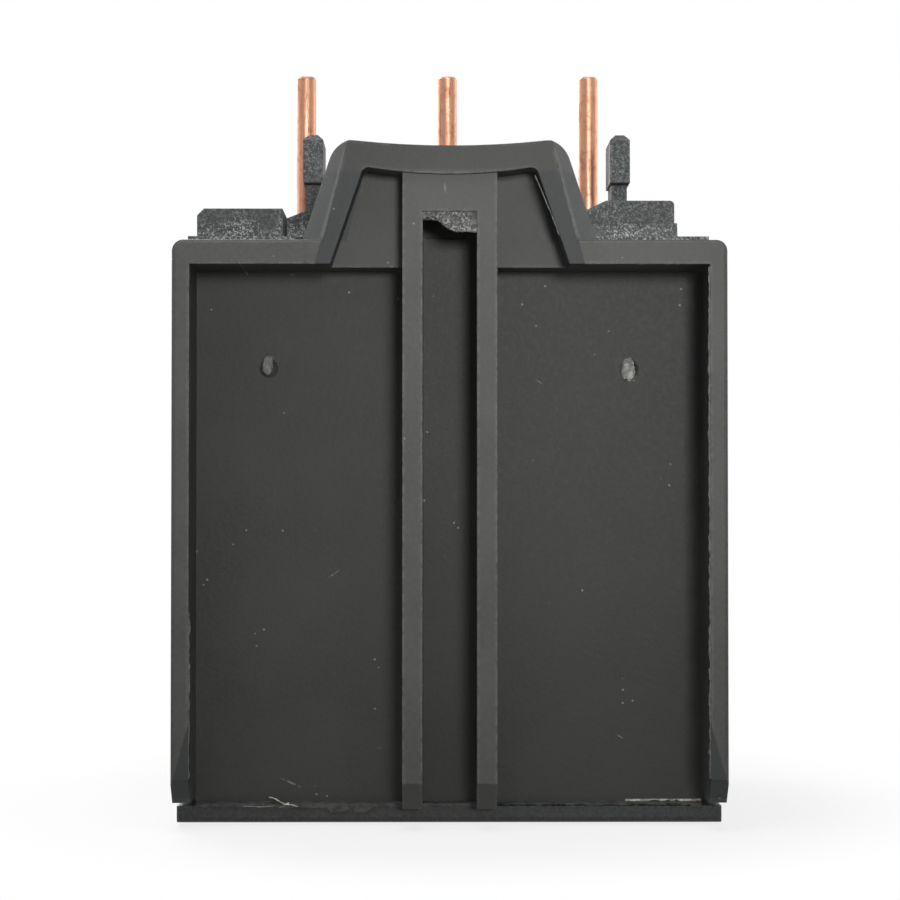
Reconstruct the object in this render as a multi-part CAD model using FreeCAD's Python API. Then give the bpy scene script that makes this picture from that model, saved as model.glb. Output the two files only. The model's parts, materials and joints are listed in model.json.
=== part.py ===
import FreeCAD, Part
import os
from math import cos, pi, radians, sin

# Thermal overload relay that plugs in under a contactor by three round pins.
# Millimetres. X runs across the relay, +Y points to the rear face that lies towards the
# mounting panel, -Y to the front with its dial, buttons and terminals, and +Z up.
# The origin is on the base plane, in the middle of the width and of the depth.

V = FreeCAD.Vector

# ---------------------------------------------------------------- overall
width = 45.0
depth = 70.0
half = width / 2
rear = depth / 2
front = -depth / 2

# ---------------------------------------------------------------- fits
slip = 0.1  # gap each side between a fixed piece and its seat
run = 0.06  # radial gap of a turning pin in its bore
slide_gap = 0.15  # radial gap of a push button in its guide
touch = 0.2  # gap left between a moving piece and what it pushes

# ---------------------------------------------------------------- rear cover
cover_length = 15.0  # from the rear plane to the parting line
rail = 1.45
recess = 7.0
cover_floor = 1.6
frame_top = 47.7
frame_bottom = 2.05
panel_bottom = 1.5
top_bar = 2.0
foot_chamfer = 2.0
frame_corner = 0.9
frame_edge = 0.4
channel = 4.4
rib = 1.65
rib_set_back = 0.3
nose_top = 55.9
nose_dip = 0.6
nose_foot_half = 12.1
nose_head_half = 9.3
nose_bevel = 3.2
nose_bevel_foot = 2.1
nose_bevel_head = 1.1
nose_corner = 1.9
nose_rim = 1.0
nose_rim_top = 2.3
nose_rim_corner = 0.6
nose_recess = 3.4
cross_bar_bottom = 50.0
window_bottom = 48.5
gate_height = 37.6
gate_spread = 15.0
gate_radius = 0.75
gate_rise = 0.35

# ---------------------------------------------------------------- main housing
face = front + 2.2  # the control face
housing_front = face + 24.8
housing_top = 49.5
wall = 1.5
base_wall = 1.4
lip_set_back = 6.0  # from the rear plane to the end of the base lip
lip_round = 0.5
cell_wall = 1.2
pin_pitch = (width - 2 * wall - 2 * cell_wall) / 3  # as wide as one pole's cell
snap_height = 5.0
snap_length = 3.0
snap_levels = (12.0, 34.0)
snap_arm = 1.0
snap_bite = 1.1
snap_front = ((17.0, 5.0), (33.0, 5.0))

# ---------------------------------------------------------------- contactor interface
pin_radius = 0.9
pin_tip = 66.5
pin_foot = 37.5
pin_tip_chamfer = 0.2
pin_root = 1.2  # upset foot that the block holds
pin_lead = 1.2  # thickness
block_rear = rear - 21.0
block_front = -5.0
block_top = 53.3
block_cove = 2.0
block_left = -half + 2.45  # the high shoulder
block_flare = 0.25
block_corner = 0.42
shoulder_end = -pin_pitch - 0.8
saddle_drop = 0.8
saddle_half = pin_pitch - 0.9
toe = 14.3  # the low end
toe_drop = 0.8
pad_left = toe + slip
pad_right = half - 0.7
pad_top = 52.0
pad_rear = rear - 16.0
pad_chamfer = 0.6
hook_at = (-pin_pitch - 2.45, pin_pitch - 1.0)
hook_width = 1.8
hook_neck = 1.4
hook_rear = 7.0
hook_length = 5.0
hook_top = 60.0
hook_step = 55.6
hook_barb = 1.2
hook_chamfer = 0.5

# ---------------------------------------------------------------- terminal housing
main_face = face + 12.8
main_height = 13.5
main_pitch = pin_pitch + 0.8
main_screw_height = 7.6
main_well_radius = 4.1
main_chamber_half = 5.2
main_face_wall = 2.4
main_plate_front = main_face + 7.5
main_plate = 1.2
main_entry_width = 8.4
main_entry_depth = 4.6
aux_face = face + 6.8
aux_top = 25.5
aux_pitch = (width - 2 * wall) / 4
aux_screw_height = 19.6
aux_well_radius = 3.4
aux_chamber_half = 3.9
aux_face_wall = 1.4
aux_plate_front = aux_face + 5.7
aux_plate = 1.0
aux_entry_width = 6.0
aux_entry_depth = 4.3
shelf = 1.4

# ---------------------------------------------------------------- terminal screws
main_thread = 2.0
main_head = 3.5
main_head_height = 2.4
main_shank = 5.4
main_saddle = 9.0
main_saddle_thick = 1.0
aux_thread = 1.75
aux_head = 2.95
aux_head_height = 2.2
aux_shank = 3.6
aux_saddle = 6.8
aux_saddle_thick = 0.8
ridge = 0.6
ridge_rise = 0.12
drive_slot = 0.9
drive_depth = 1.1

# ---------------------------------------------------------------- front cover
face_wall = 1.5
front_edge = 1.0
dial_at = (-half + 12.7, 39.6)
dial_radius = 6.0
dial_flange = 7.0
dial_flange_thick = 1.1
dial_proud = 0.4
dial_well = 7.8
dial_well_depth = 0.7
dial_stem = 2.5
cam_rear = face + 15.3
cam_thick = 2.6
cam_radius = 3.2
cam_rise = 1.2
dial_turn = 270.0
dial_slot = 1.2
dial_slot_depth = 1.0
reset_at = (half - 13.1, 42.0)
reset_collar_radius = 4.6
reset_collar_flange = 5.4
selector_proud = 0.8
reset_plunger = 3.2
reset_travel = 2.2
reset_stem = 1.4
reset_stem_rear = face + 16.3
guide = 2.2
guide_wall = 1.0
stop_at = (reset_at[0], 32.6)
stop_radius = 2.7
stop_flange = 3.5
stop_travel = 2.0
stop_stem_rear = face + 14.2
test_at = (half - 5.3, stop_at[1])
test_radius = 1.7
test_flange = 2.4
test_travel = 1.5
test_stem = 0.9
test_stem_rear = face + 13.8
button_front = front
button_flange_thick = 1.0
button_chamfer = 0.4
flag_at = (half - 4.9, 41.6)
flag_border = 0.6
flag_rail = 0.8
flag_window = (3.2, 4.0)
flag_travel = 1.2
tag_size = (15.0, 3.6)
tag_at = (dial_at[0], 29.2)
tag_thick = 1.2
tag_seat = 0.9

# ---------------------------------------------------------------- clear cover
lid_left = -half + 0.95  # the hinge axis
lid_right = dial_at[0] + 10.8
lid_bottom = 31.9
lid_top = 47.4
lid_front = face - 1.9
lid_thick = 1.0
lid_corner = 1.2
lid_hub = 0.8
lid_pin = 0.45
lid_pin_length = 0.9
ear = 1.25
seal_tab = 2.2
seal_hole = 0.7

# ---------------------------------------------------------------- springs
spring_wire = 0.4
spring_turns = 2.5
spring_runs = 12  # straight runs in a turn
spring_clear = 0.5
seat_plate_front = face + 10.2
seat_plate = 1.2
seat_plate_left = reset_at[0] - 6.6
seat_plate_bottom = 28.6
seat_post = 0.9
seat_post_inset = 1.4

# ---------------------------------------------------------------- bimetal stack
strip_y = rear - 25.0
strip_width = 6.0
strip_thick = 0.8
strip_foot = 15.0
strip_tip = 45.6
strip_pivot = 14.0
winding_foot = 19.5
winding_top = 36.0
winding_body = 2.2
winding_ribbon = 0.5
winding_turns = 6
bar_half = 3.0
bar_level = 12.0
tab_top = 18.4
slide_level = 41.0
slide_thick = 1.2
slide_step = 2.0
slide_travel = 1.5
slide_left = -half + 4.5
slide_right = half - 3.9
slide_margin = 1.4
arm_left = 8.2
arm_right = 10.2
arm_front = face + 20.2
arm_finger = 2.4
arm_finger_length = 2.0
diff_left = slide_left + 2.0
diff_right = slide_right - 4.0

# ---------------------------------------------------------------- trip mechanism
lever_x = 11.9
lever_pivot = 33.0
lever_hub = 1.7
lever_pin = 0.8
lever_front = housing_front - 4.0
lever_rear = housing_front - 1.6
lever_arm = 1.2
lever_tail = 29.4
lever_clip = 4.0  # above the pivot
comp_strip = 0.6
comp_top = 44.0
rocker_pivot = 35.0
rocker_hub = 1.8
rocker_pin = 0.8
rocker_rear = lever_front - 0.6
rocker_front = rocker_rear - 3.0
rocker_reach = 9.4
rocker_arm = 1.1
rocker_low = 28.2
rocker_leg = 1.4
rocker_tooth = 9.9
rocker_tooth_rear = lever_rear - 0.8
blade_level = 31.2
blade_thick = 0.35
blade_width = 3.0
blade_tip = 0.9
contact_radius = 0.9
contact_height = 0.5
contact_open = 0.95
tail_half = 1.9
foot_thick = 0.6
setting_pivot = (dial_at[0] - 8.4, 33.2)
setting_hub = 1.6
setting_pin = 0.8
setting_arm = 1.2
setting_top = 40.8
pin_boss = 1.6


# ================================================================ helpers
def box(x0, x1, y0, y1, z0, z1):
    return Part.makeBox(x1 - x0, y1 - y0, z1 - z0, V(x0, y0, z0))


def rod_y(x, z, radius, y0, y1):
    return Part.makeCylinder(radius, y1 - y0, V(x, y0, z), V(0, 1, 0))


def rod_z(x, y, radius, z0, z1):
    return Part.makeCylinder(radius, z1 - z0, V(x, y, z0), V(0, 0, 1))


def prism_y(points, y0, y1):
    """A prism along Y with the outline points given as (x, z)."""
    wire = Part.makePolygon([V(x, y0, z) for x, z in points + points[:1]])
    return Part.Face(wire).extrude(V(0, y1 - y0, 0))


def prism_x(points, x0, x1):
    """A prism along X with the outline points given as (y, z)."""
    wire = Part.makePolygon([V(x0, y, z) for y, z in points + points[:1]])
    return Part.Face(wire).extrude(V(x1 - x0, 0, 0))


def round_edges(shape, radius, chosen):
    """Fillets the edges that chosen(edge) picks."""
    return shape.makeFillet(radius, [e for e in shape.Edges if chosen(e)])


def runs_along(edge, axis):
    a, b = edge.Vertexes[0].Point, edge.Vertexes[-1].Point
    d = b - a
    return d.Length > 1e-6 and abs(abs(d.dot(axis)) / d.Length - 1) < 1e-6


def at(value, target):
    return abs(value - target) < 1e-4


def fuse(shapes):
    first, rest = shapes[0], shapes[1:]
    return first.multiFuse(rest).removeSplitter() if rest else first


def cut(shape, tools):
    return shape.cut(Part.makeCompound(tools)).removeSplitter()


def columns(count, pitch):
    """Centres of equal columns, left to right."""
    return [(i - (count - 1) / 2) * pitch for i in range(count)]


# ================================================================ rear cover
def nose_half(z):
    """Half width of the hood's outside at height z."""
    slope = (nose_foot_half - nose_head_half) / (nose_top - frame_top)
    return nose_foot_half + slope * (frame_top - z)


def hood(inset, foot, top, corner, y0, y1):
    """Trapezium that narrows upwards, with a hollow top edge, inset from the hood's outside."""
    low, high = nose_half(foot) - inset, nose_half(top) - inset
    head = Part.Arc(V(-high, y0, top), V(0, y0, top - nose_dip), V(high, y0, top)).toShape()
    sides = Part.makePolygon([V(high, y0, top), V(low, y0, foot), V(-low, y0, foot), V(-high, y0, top)])
    block = Part.Face(Part.Wire([head] + sides.Edges)).extrude(V(0, y1 - y0, 0))
    return round_edges(
        block, corner, lambda e: runs_along(e, V(0, 1, 0)) and at(e.BoundBox.ZMax, top)
    )


def flank_bevel(side):
    """Wedge that takes the rear corner off one flank of the hood, along a straight crease."""
    foot = frame_top - top_bar
    crease_low = V(side * (nose_half(foot) - nose_bevel_foot), rear, foot)
    crease_high = V(side * (nose_head_half - nose_bevel_head), rear, nose_top)
    deep_low = V(side * nose_half(foot), rear - nose_bevel, foot)
    along = (crease_high - crease_low).normalize()
    across = (deep_low - crease_low).normalize()
    past = nose_foot_half  # far enough to clear the hood on every side
    a = crease_low - along * past - across * past
    b = crease_low - along * past + across * past
    slope = Part.Face(Part.makePolygon([a, b, b + along * 3 * past, a + along * 3 * past, a]))
    return slope.extrude(V(side * past, past, 0))


def frame_block():
    """Outer block of the rear frame with rounded top corners and rear edges."""
    block = box(-half, half, rear - cover_length, rear, frame_bottom, frame_top)
    block = round_edges(
        block, frame_corner, lambda e: runs_along(e, V(0, 1, 0)) and at(e.BoundBox.ZMax, frame_top)
    )
    return round_edges(
        block,
        frame_edge,
        lambda e: at(e.BoundBox.YMin, rear) and e.BoundBox.ZMax > frame_bottom + frame_edge,
    )


def gate_marks():
    """Low domes left by the two injection gates on the panels."""
    deep = rear - recess
    ball = (gate_radius**2 + gate_rise**2) / (2 * gate_rise)
    marks = []
    for x in (-gate_spread, gate_spread):
        dome = Part.makeSphere(ball, V(x, deep + gate_rise - ball, gate_height))
        z0, z1 = gate_height - ball, gate_height + ball
        marks.append(dome.common(box(x - ball, x + ball, deep - 0.2, deep + gate_rise, z0, z1)))
    return marks


def make_rear_cover():
    """Tray that closes the relay's back: deep panels between rails, two ribs and a raised hood."""
    joint = rear - cover_length
    deep = rear - recess
    inner = half - rail
    bar_bottom = frame_top - top_bar
    outer = hood(0, bar_bottom, nose_top, nose_corner, joint, rear)
    outer = outer.cut(Part.makeCompound([flank_bevel(side) for side in (-1, 1)]))
    body = frame_block().fuse(outer)

    beyond = rear + 1
    below = frame_bottom - 1
    rim = nose_bevel_foot + nose_rim
    rim_top = nose_top - nose_rim_top
    shelf_y = rear - nose_recess
    hollows = [
        box(-inner, inner, deep, beyond, below, bar_bottom),
        box(-inner, inner, joint - 1, deep - cover_floor, below, bar_bottom),
        hood(rim, bar_bottom - 0.5, rim_top, nose_rim_corner, shelf_y, beyond),
        hood(cover_floor, bar_bottom - 0.5, rim_top, nose_rim_corner, joint - 1, deep - cover_floor),
        hood(rim, bar_bottom + cover_floor, rim_top, nose_rim_corner, deep - cover_floor - 1, shelf_y - cover_floor),
    ]
    body = body.cut(Part.makeCompound(hollows))

    mid = channel / 2
    rib_face = rear - rib_set_back
    rib_top = rim_top - nose_dip / 2
    floor_y = deep - cover_floor
    solids = [box(x, x + rib, floor_y, rib_face, panel_bottom, rib_top) for x in (mid, -mid - rib)]
    solids.append(box(-inner, inner, floor_y, deep, panel_bottom, frame_bottom + 1))
    solids.append(box(-mid - rib, mid + rib, floor_y, shelf_y, bar_bottom - 1, cross_bar_bottom + rib))
    solids.append(box(-mid - 0.1, mid + 0.1, shelf_y - 0.1, rib_face, cross_bar_bottom, rib_top))
    body = body.fuse(solids)

    foot = frame_bottom + foot_chamfer
    corner = [(rear + 1, foot + 1), (rear + 1, below), (rear - foot_chamfer - 1, frame_bottom - 1)]
    tools = [
        box(-mid, mid, deep, beyond, below, cross_bar_bottom),
        box(-mid, mid, joint, beyond, window_bottom, cross_bar_bottom),
        prism_x(corner, -half - 1, half + 1),
    ]
    tools += [
        snap_boxes(side, inner, joint, 1, level, snap_height, slip) for level in snap_levels for side in (-1, 1)
    ]
    return cut(body, tools).fuse(gate_marks()).removeSplitter()


# ================================================================ main housing
def block_outline():
    """Rear view of the block that the pins stand in: a high shoulder, a saddle and a low toe."""
    low = block_top - saddle_drop
    return [
        (block_left, housing_top - 1),
        (block_left, block_top),
        (shoulder_end, block_top),
        (-saddle_half, low),
        (saddle_half, low),
        (toe, low - toe_drop),
        (toe, housing_top - 1),
    ]


def make_pin_block():
    """Block that the pins and hooks stand in, with a cove along the foot of its rear face."""
    block = prism_y(block_outline(), block_front, block_rear)
    block = round_edges(
        block, block_corner, lambda e: runs_along(e, V(0, 1, 0)) and at(e.CenterOfMass.x, block_left) and at(e.CenterOfMass.z, block_top)
    )
    cove_top = block_top - block_cove
    flank = block_left - block_flare
    apron = box(flank, toe, block_rear - 0.5, block_rear + block_cove, housing_top - 1, cove_top)
    groove = Part.makeCylinder(block_cove, width, V(-half, block_rear + block_cove, cove_top), V(1, 0, 0))
    flare = prism_y(
        [(block_left + 0.1, cove_top), (flank, housing_top + block_flare), (flank, housing_top - 1), (block_left + 0.1, housing_top - 1)],
        block_front,
        block_rear,
    )
    return block.fuse([flare, apron.cut(groove)])


def make_hook(x):
    """A latch post with a barb to the rear, chamfered at its head."""
    w, n = hook_width / 2, hook_neck / 2
    low = housing_top
    front_y = hook_rear - hook_length
    post = box(x - n, x + n, front_y, hook_rear, low, hook_step + 0.1)
    head = box(x - w, x + w, front_y, hook_rear, hook_step, hook_top)
    barb = box(x - w, x + w, hook_rear, hook_rear + hook_barb, hook_step, hook_top)
    head = head.fuse(barb).removeSplitter()
    head = head.makeChamfer(hook_chamfer, [e for e in head.Edges if at(e.BoundBox.ZMin, hook_top)])
    return post.fuse(head)


def make_main_housing():
    joint = rear - cover_length
    shell = box(-half, half, housing_front, joint, 0, housing_top)
    lip = box(-half, half, joint - 1, rear - lip_set_back, 0, base_wall)
    lip = round_edges(lip, lip_round, lambda e: at(e.BoundBox.ZMax, 0) and (at(e.BoundBox.YMin, rear - lip_set_back)))
    pad = prism_y(
        [
            (pad_left, housing_top - 1),
            (pad_left, pad_top),
            (pad_right - pad_chamfer, pad_top),
            (pad_right, pad_top - pad_chamfer),
            (pad_right, housing_top - 1),
        ],
        block_front,
        pad_rear,
    )
    hooks = [make_hook(x) for x in hook_at]
    body = fuse([shell, lip, make_pin_block(), pad] + hooks)

    tools = []
    inner = half - wall
    cell = (2 * inner - 2 * cell_wall) / 3
    for x in columns(3, cell + cell_wall):
        tools.append(
            box(x - cell / 2, x + cell / 2, housing_front + wall, joint + 1, base_wall, housing_top - wall)
        )
    for x in columns(3, pin_pitch):
        tools.append(rod_z(x, 0, pin_root + run, housing_top - wall - 1, pin_tip))
    for i in (0, 1):
        z0 = slide_level + i * slide_step
        tools.append(
            box(
                slide_left - slide_travel,
                slide_right + slide_travel,
                strip_y - strip_width / 2 - slide_margin - slip,
                strip_y + strip_width / 2 + slide_margin + slip,
                z0 - slip,
                z0 + slide_thick + slip,
            )
        )
    tools.append(
        box(
            arm_left - 0.4,
            arm_right + slide_travel + 0.4,
            housing_front - 1,
            housing_front + wall + 1,
            slide_level - 2 * slip,
            slide_level + slide_thick + 2 * slip,
        )
    )
    for x in columns(3, main_pitch):
        tools.append(
            box(
                x - bar_half - slip,
                x + bar_half + slip,
                housing_front - 1,
                housing_front + wall + 1,
                bar_level - slip,
                bar_level + main_plate + slip,
            )
        )
    for x, z in ((lever_x, lever_pivot), (0, rocker_pivot), setting_pivot):
        tools.append(rod_y(x, z, lever_pin, housing_front - 1, housing_front + wall - 0.3))
    body = cut(body, tools)

    arms = []
    for side in (-1, 1):
        for level in snap_levels:
            arms += snap_arm_solids(side, half - rail, joint, 1, level, snap_height)
        for level, height in snap_front:
            arms += snap_arm_solids(side, half - wall, housing_front, -1, level, height)
    return body.fuse(arms).removeSplitter()


# ================================================================ pins, bars and strips
def make_contact_pin(x):
    """A round copper wire on an upset foot, with a flat lead towards its strip below."""
    foot = rod_z(x, 0, pin_root, pin_foot, block_top)
    wire = rod_z(x, 0, pin_radius, block_top - 0.1, pin_tip)
    wire = wire.makeChamfer(pin_tip_chamfer, [e for e in wire.Edges if at(e.BoundBox.ZMin, pin_tip)])
    lead = box(
        x - pin_radius, x + pin_radius, 0, strip_y - strip_width / 2 - 2 * touch, pin_foot, pin_foot + pin_lead
    )
    return fuse([foot, wire, lead])


def make_output_bar(x):
    """Copper bar: the terminal plate in front, a run to the rear and the tab that carries a strip."""
    plate_rear = main_plate_front + main_plate
    plate = box(
        x - main_chamber_half + 0.6,
        x + main_chamber_half - 0.6,
        main_plate_front,
        plate_rear,
        base_wall + 0.6,
        bar_level + main_plate,
    )
    run_back = box(
        x - bar_half, x + bar_half, plate_rear - 0.1, strip_y - strip_width / 2, bar_level, bar_level + main_plate
    )
    tab_x = strip_side(x)
    foot = box(
        tab_x - 1.2, x + bar_half, strip_y - strip_width / 2 - 0.1, strip_y + strip_width / 2, bar_level, bar_level + main_plate
    )
    tab = box(tab_x - 1.2, tab_x, strip_y - strip_width / 2, strip_y + strip_width / 2, bar_level, tab_top)
    hole = rod_y(x, main_screw_height, main_thread + run, main_plate_front - 1, plate_rear + 1)
    return cut(fuse([plate, run_back, foot, tab]), [hole])


def strip_side(x):
    """Where the face of the bar's tab lies: on the left of the strip at that column."""
    return x / main_pitch * pin_pitch - strip_thick / 2


def strip_x(index):
    return columns(3, pin_pitch)[index]


def make_strip(index):
    x = strip_x(index)
    half_w = strip_width / 2
    strip = box(x - strip_thick / 2, x + strip_thick / 2, strip_y - half_w, strip_y + half_w, strip_foot, strip_tip)
    return strip.cut(box(x - 1, x + 1, strip_y - half_w - 1, strip_y - half_w + 1.2, winding_top + 1.5, strip_tip + 1))


def make_winding(index):
    """Heater: an insulating sleeve on the strip with the ribbon's turns round it."""
    x = strip_x(index)
    t, w = strip_thick / 2, strip_width / 2
    sleeve = box(x - winding_body / 2, x + winding_body / 2, strip_y - w - 0.5, strip_y + w + 0.5, winding_foot, winding_top)
    pitch = (winding_top - winding_foot) / winding_turns
    turns = []
    for i in range(winding_turns):
        z = winding_foot + (i + 0.5) * pitch
        turns.append(
            box(
                x - winding_body / 2 - winding_ribbon,
                x + winding_body / 2 + winding_ribbon,
                strip_y - w - 0.5 - winding_ribbon,
                strip_y + w + 0.5 + winding_ribbon,
                z - pitch * 0.32,
                z + pitch * 0.32,
            )
        )
    return cut(fuse([sleeve] + turns), [box(x - t, x + t, strip_y - w, strip_y + w, winding_foot - 1, winding_top + 1)])


def slide_plate(level, left, right):
    w = strip_width / 2
    plate = box(left, right, strip_y - w - slide_margin, strip_y + w + slide_margin, level, level + slide_thick)
    slots = []
    for i in range(3):
        x = strip_x(i)
        slots.append(
            box(
                x - strip_thick / 2 - touch,
                x + strip_thick / 2 + touch,
                strip_y - w - touch,
                strip_y + w + touch,
                level - 1,
                level + slide_thick + 1,
            )
        )
    return plate, slots


def make_main_slide():
    """Push bar: the strips' tips stand in its slots, and its arm reaches into the front."""
    plate, slots = slide_plate(slide_level, slide_left, slide_right)
    back = strip_y - strip_width / 2 - slide_margin
    arm = box(arm_left, arm_right, arm_front, back + 1, slide_level, slide_level + slide_thick)
    finger = box(arm_left, arm_right, arm_front, arm_front + arm_finger_length, slide_level, slide_level + arm_finger)
    body = cut(fuse([plate, arm, finger]), slots)
    return body


def make_differential_slide():
    plate, slots = slide_plate(slide_level + slide_step, diff_left, diff_right)
    return cut(plate, slots)


# ================================================================ terminal housing
def screw_relief(x, z, thread, plate_rear):
    """Square pocket behind a terminal plate that the end of its screw runs into."""
    r = thread + 3 * slip
    return box(x - r, x + r, plate_rear - 1, housing_front + 1, z - r, z + r)


def make_terminal_housing():
    """Stepped block: three main terminals below, four auxiliary ones above and further out."""
    step = prism_x(
        [
            (housing_front, 0),
            (main_face, 0),
            (main_face, main_height),
            (aux_face, main_height),
            (aux_face, aux_top),
            (housing_front, aux_top),
        ],
        -half,
        half,
    )
    step = round_edges(
        step,
        0.6,
        lambda e: runs_along(e, V(0, 0, 1))
        and (at(e.BoundBox.YMin, aux_face) or at(e.BoundBox.YMin, main_face))
        and abs(abs(e.BoundBox.XMin) - half) < 1e-4,
    )
    tools = []
    plate_rear = main_plate_front + main_plate
    chamber_front = main_face + main_face_wall
    ceiling = bar_level + main_plate + slip
    for x in columns(3, main_pitch):
        z = main_screw_height
        c = main_chamber_half
        tools += [
            box(x - c, x + c, chamber_front, plate_rear + slip, base_wall + slip, ceiling),
            rod_y(x, z, main_well_radius, main_face - 1, chamber_front + 1),
            screw_relief(x, z, main_thread, plate_rear),
            box(
                x - main_entry_width / 2,
                x + main_entry_width / 2,
                main_plate_front - main_entry_depth - slip,
                main_plate_front - slip,
                -1,
                base_wall + 1,
            ),
            box(x - bar_half - slip, x + bar_half + slip, plate_rear - 1, housing_front + 1, bar_level - slip, ceiling),
        ]
    aux_rear = aux_plate_front + aux_plate
    for x in columns(4, aux_pitch):
        z = aux_screw_height
        c = aux_chamber_half
        tools += [
            box(x - c, x + c, aux_face + aux_face_wall, aux_rear + slip, main_height + shelf, aux_top - shelf),
            rod_y(x, z, aux_well_radius, aux_face - 1, aux_face + aux_face_wall + 1),
            screw_relief(x, z, aux_thread, aux_rear),
            box(
                x - aux_entry_width / 2,
                x + aux_entry_width / 2,
                aux_plate_front - aux_entry_depth,
                aux_plate_front,
                main_height - 1,
                main_height + shelf + 1,
            ),
            box(x - tail_half - slip, x + tail_half + slip, aux_plate_front - slip, aux_rear + slip, aux_top - shelf - 1, aux_top + 1),
        ]
    inner = half - wall
    hollow_front = aux_rear + aux_plate
    tools.append(box(-inner, inner, hollow_front, housing_front + 1, ceiling + shelf, aux_top - shelf))
    level, height = snap_front[0]
    tools += [snap_boxes(side, inner, housing_front, -1, level, height, slip) for side in (-1, 1)]
    return cut(step, tools)


def make_screw(x, z, seat, head, head_height, thread, shank):
    """Slotted cheese-head screw along Y. seat is the underside of its head."""
    top = seat - head_height
    cap = rod_y(x, z, head, top, seat)
    stem = rod_y(x, z, thread, seat - 0.1, seat + shank)
    s = drive_slot / 2
    slot = box(x - head - 1, x + head + 1, top - 1, top + drive_depth, z - s, z + s)
    return cut(fuse([cap, stem]), [slot])


def make_saddle(x, z, size, thick, bore, plate_front):
    """Square clamp plate with two ridges behind it that grip the wire."""
    back = plate_front - touch
    s = size / 2
    plate = box(x - s, x + s, back - thick, back, z - s, z + s)
    offset = bore + run + ridge
    ridges = [
        box(x - s + ridge, x + s - ridge, back - 0.1, back + ridge_rise, z0 - ridge / 2, z0 + ridge / 2)
        for z0 in (z - offset, z + offset)
    ]
    return cut(fuse([plate] + ridges), [rod_y(x, z, bore + run, back - thick - 1, back + 1)])


def saddle_face(plate_front, thick):
    """Outer face of a clamp plate at rest, which is also the seat of the screw head."""
    return plate_front - touch - thick


def make_aux_plate(x, tail_top):
    """Contact plate of one auxiliary terminal, with a tail that turns in over the mechanism."""
    aux_rear = aux_plate_front + aux_plate
    c = aux_chamber_half - slip
    plate = box(x - c, x + c, aux_plate_front, aux_rear, main_height + shelf + slip, aux_top - shelf - slip)
    tail = box(x - tail_half, x + tail_half, aux_plate_front, aux_rear, aux_top - shelf - 1, tail_top)
    foot = box(
        x - tail_half, x + tail_half, aux_plate_front, rocker_rear, tail_top - foot_thick, tail_top
    )
    hole = rod_y(x, aux_screw_height, aux_thread + run, aux_plate_front - 1, aux_rear + 1)
    return cut(fuse([plate, tail, foot]), [hole])


# ================================================================ front cover
def guide_tube(at_xz, radius):
    """Sleeve behind the control face that a button or collar runs in."""
    x, z = at_xz
    return rod_y(x, z, radius + guide_wall, face + face_wall - 0.1, face + face_wall + guide)


def flag_rails():
    x, z = flag_at
    w = flag_window[0] / 2 + flag_border + slip
    h = flag_window[1] / 2 + flag_border + flag_travel
    y0 = face + face_wall
    return [
        box(x + side, x + side + flag_rail / 2, y0 - 0.1, y0 + 2 * flag_rail, z - h, z + h)
        for side in (-w - flag_rail / 2, w)
    ]


def snap_boxes(side, wall_in, y0, way, level, height, clearance):
    """The window of one snap in a side wall, way = 1 towards the rear and -1 towards the front."""
    x0, x1 = sorted((side * (wall_in - 0.5), side * (half + 1)))
    a = y0 + way * (snap_length - clearance)
    b = y0 + way * (2 * snap_length + clearance)
    return box(x0, x1, min(a, b), max(a, b), level - clearance, level + height + clearance)


def snap_arm_solids(side, wall_in, y0, way, level, height):
    """A springy arm with its root in the housing and a bite that fills the window."""
    edge = wall_in - slip
    spans = (
        (edge - snap_arm, edge, -1.0, 2 * snap_length + 0.2),
        (edge - snap_arm, wall_in + 0.5, -1.0, -slip),
        (edge - 0.1, edge + snap_bite, snap_length, 2 * snap_length),
    )
    solids = []
    for inner, outer, near, far in spans:
        x0, x1 = sorted((side * inner, side * outer))
        ya, yb = sorted((y0 + way * near, y0 + way * far))
        solids.append(box(x0, x1, ya, yb, level, level + height))
    return solids


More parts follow.
